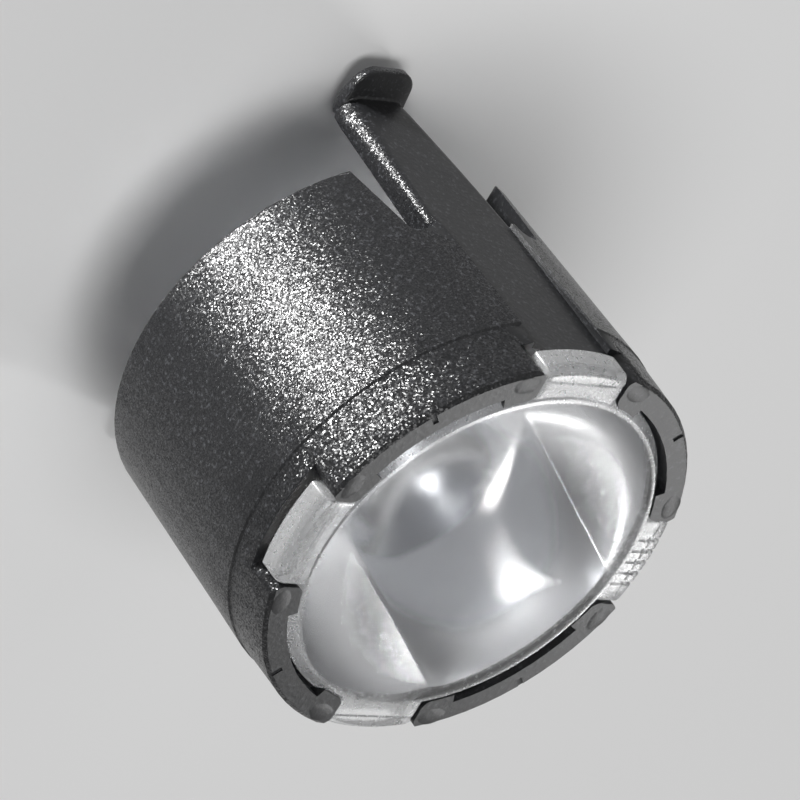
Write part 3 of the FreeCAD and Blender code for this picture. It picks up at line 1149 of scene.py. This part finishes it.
    def tab_stations(self, ribbed: bool) -> list[Point]:
        """Chooses where a tab's outline is drawn.

        Args:
            ribbed: Whether the tab has ribs.

        Returns:
            Places across the tab, each with how far its outline is drawn in there.
        """
        side = []
        for angle in self.tab_edge_angles:
            turn = math.radians(angle)
            side.append((self.tab_half - self.tab_edge * (1.0 - math.sin(turn)),
                         self.tab_edge * (1.0 - math.cos(turn))))
        count = self.tab_half_stations
        if ribbed:
            inner = [(middle + offset * self.flute_width, 0.0)
                     for middle in self.flute_middles() for offset in self.flute_edges]
        else:
            inner = [(self.tab_half * (step / count - 1.0) * self.tab_flat_share, 0.0)
                     for step in range(1, 2 * count)]
        return [(-place, inset) for place, inset in reversed(side)] + inner + side

    def tab(self, quarter: int) -> bpy.types.Object:
        """Builds one tab.

        Args:
            quarter: The quarter that it is turned to.

        Returns:
            The tab.
        """
        ribbed = quarter == self.ribbed_tab
        turn = Matrix.Rotation(quarter * QUARTER_TURN, 3, "Z")
        root = self.rim_inner - self.tab_root
        ring, wide = self.groove_radius, self.groove_width
        flutes = self.flute_middles() if ribbed else []
        sections = []
        for across, inset in self.tab_stations(ribbed):
            fluted = any(abs(across - middle) < self.flute_width / 2 for middle in flutes)
            radius = self.tab_radius - inset - (self.flute_depth if fluted else 0.0)
            end = math.sqrt(radius * radius - across * across)
            low = self.seat + inset
            high = self.tab_top - inset - (self.flute_fall if fluted else 0.0)
            outline = [(root, low), (end - self.tab_foot, low), (end, low + self.tab_foot)]
            outline += arc((end - self.tab_round, high - self.tab_round), self.tab_round, 0, 90,
                           self.tab_round_steps)
            outline += [(ring + wide, high), (ring, high - wide), (ring - wide, high), (root, high)]
            sections.append([turn @ Vector((x, across, z)) for x, z in outline])
        return loft("tab", sections)

    def face_kind(self, centre: Vector) -> LensFace:
        """Chooses the finish of a face.

        Args:
            centre: The face's centre.

        Returns:
            Its finish.
        """
        if centre.z < self.seat - self.hidden_depth:
            return LensFace.HIDDEN
        if math.hypot(centre.x, centre.y) > self.satin_start:
            return LensFace.SATIN
        return LensFace.POLISHED

    def build(self, materials: list[bpy.types.Material]) -> bpy.types.Object:
        """Builds and dresses the lens.

        Args:
            materials: The lens's finishes, in the order of LensFace.

        Returns:
            The lens.
        """
        piece = self.turned_body()
        for quarter in range(self.tab_count):
            combine(piece, self.tab(quarter), "UNION")
        shade_evenly(piece, self.crisp_angle)
        finish_piece(piece, materials, "lens")
        for face in piece.data.polygons:
            face.material_index = self.face_kind(face.center / MM).value
        return piece


@dataclass(frozen=True)
class Lamp:
    """A soft square lamp that looks at the part. Lengths are millimetres, power is watts."""

    name: str
    direction: tuple[float, float, float]
    distance: float
    side: float
    power: float


@dataclass
class Studio:
    """Floor, lamps, world and camera. Lengths are millimetres, but nearest and farthest are metres.

    Eye, right, up and forward are the camera's place and axes, and focal_pixels is its focal
    length where the picture is frame_pixels wide. It sees from nearest to farthest.
    """

    floor_level: float = -2.76
    floor_half: float = 900.0
    eye: tuple[float, float, float] = (76.94, 112.76, 100.07)
    right: tuple[float, float, float] = (0.4720, -0.7369, 0.4839)
    up: tuple[float, float, float] = (0.7547, 0.0541, -0.6538)
    forward: tuple[float, float, float] = (-0.4556, -0.6738, -0.5817)
    focal_pixels: float = 8154.0
    frame_pixels: float = 800.0
    sensor: float = 36.0
    nearest: float = 0.01
    farthest: float = 10.0
    sky: float = 0.16
    backdrop: float = 0.56
    white: Colour = (1.0, 1.0, 1.0, 1.0)
    lamps: tuple[Lamp, ...] = (
        Lamp("under_key", (0.38, 0.645, -0.657), 60.0, 9.0, 0.12),
        Lamp("front_soft", (0.05, 0.35, 0.94), 90.0, 50.0, 0.054),
        Lamp("front_gloss", (-0.29, -0.63, 0.72), 90.0, 8.0, 0.012),
        Lamp("low_gloss", (-0.43, -0.71, 0.555), 90.0, 7.0, 0.005),
        Lamp("side_soft", (0.9, -0.3, 0.45), 90.0, 40.0, 0.006),
    )

    def lay_floor(self, material: bpy.types.Material) -> None:
        """Lays the floor, which lets the low lamp reach the part.

        Args:
            material: The floor's paint.
        """
        mesh_data = bmesh.new()
        half = self.floor_half
        corners = [(-half, -half), (half, -half), (half, half), (-half, half)]
        points = [mesh_data.verts.new(Vector((x, y, self.floor_level)) * MM) for x, y in corners]
        mesh_data.faces.new(points)
        floor = to_object("floor", mesh_data)
        floor.data.materials.append(material)
        floor.visible_shadow = False

    def hang_lamps(self) -> None:
        """Hangs the lamps round the part."""
        for lamp in self.lamps:
            light = bpy.data.lights.new(lamp.name, "AREA")
            light.size = lamp.side * MM
            light.energy = lamp.power
            stand = bpy.data.objects.new(lamp.name, light)
            toward = Vector(lamp.direction).normalized()
            stand.location = toward * lamp.distance * MM
            stand.rotation_euler = (-toward).to_track_quat("-Z", "Y").to_euler()
            bpy.context.scene.collection.objects.link(stand)

    def fill_sky(self) -> None:
        """Gives even light from all round, with a pale backdrop."""
        world = bpy.data.worlds.new("sky")
        world.use_nodes = True
        nodes = Nodes(world.node_tree)
        background = world.node_tree.nodes["Background"]
        background.inputs["Color"].default_value = self.white
        strength = nodes.ramp(nodes.seen_directly(), 0.0, 1.0, self.sky, self.backdrop)
        nodes.feed(background.inputs["Strength"], strength)
        bpy.context.scene.world = world

    def set_camera(self) -> None:
        """Sets the camera at the photograph's angle."""
        lens = bpy.data.cameras.new("camera")
        lens.sensor_width = self.sensor
        lens.lens = self.focal_pixels / self.frame_pixels * self.sensor
        lens.clip_start = self.nearest
        lens.clip_end = self.farthest
        camera = bpy.data.objects.new("camera", lens)
        bpy.context.scene.collection.objects.link(camera)
        axes = Matrix((self.right, self.up, tuple(-part for part in self.forward))).transposed()
        camera.matrix_world = Matrix.Translation(Vector(self.eye) * MM) @ axes.to_4x4()
        bpy.context.scene.camera = camera

    def build(self) -> None:
        """Sets the whole studio."""
        self.lay_floor(FloorPaint().make())
        self.hang_lamps()
        self.fill_sky()
        self.set_camera()
        bpy.context.scene.view_settings.view_transform = "Standard"


def main() -> None:
    """Builds the part and its studio in order."""
    logging.basicConfig(level=logging.INFO)
    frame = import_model()
    grain = MouldGrain().make()
    facets = TiltedFacets().make()
    Sleeve().build(frame["nodes"]["holder"], MouldedBlack().make(grain, facets))
    Collimator().build([LENS_FINISHES[kind].make(grain) for kind in LensFace])
    Studio().build()


if __name__ == "__main__":
    main()
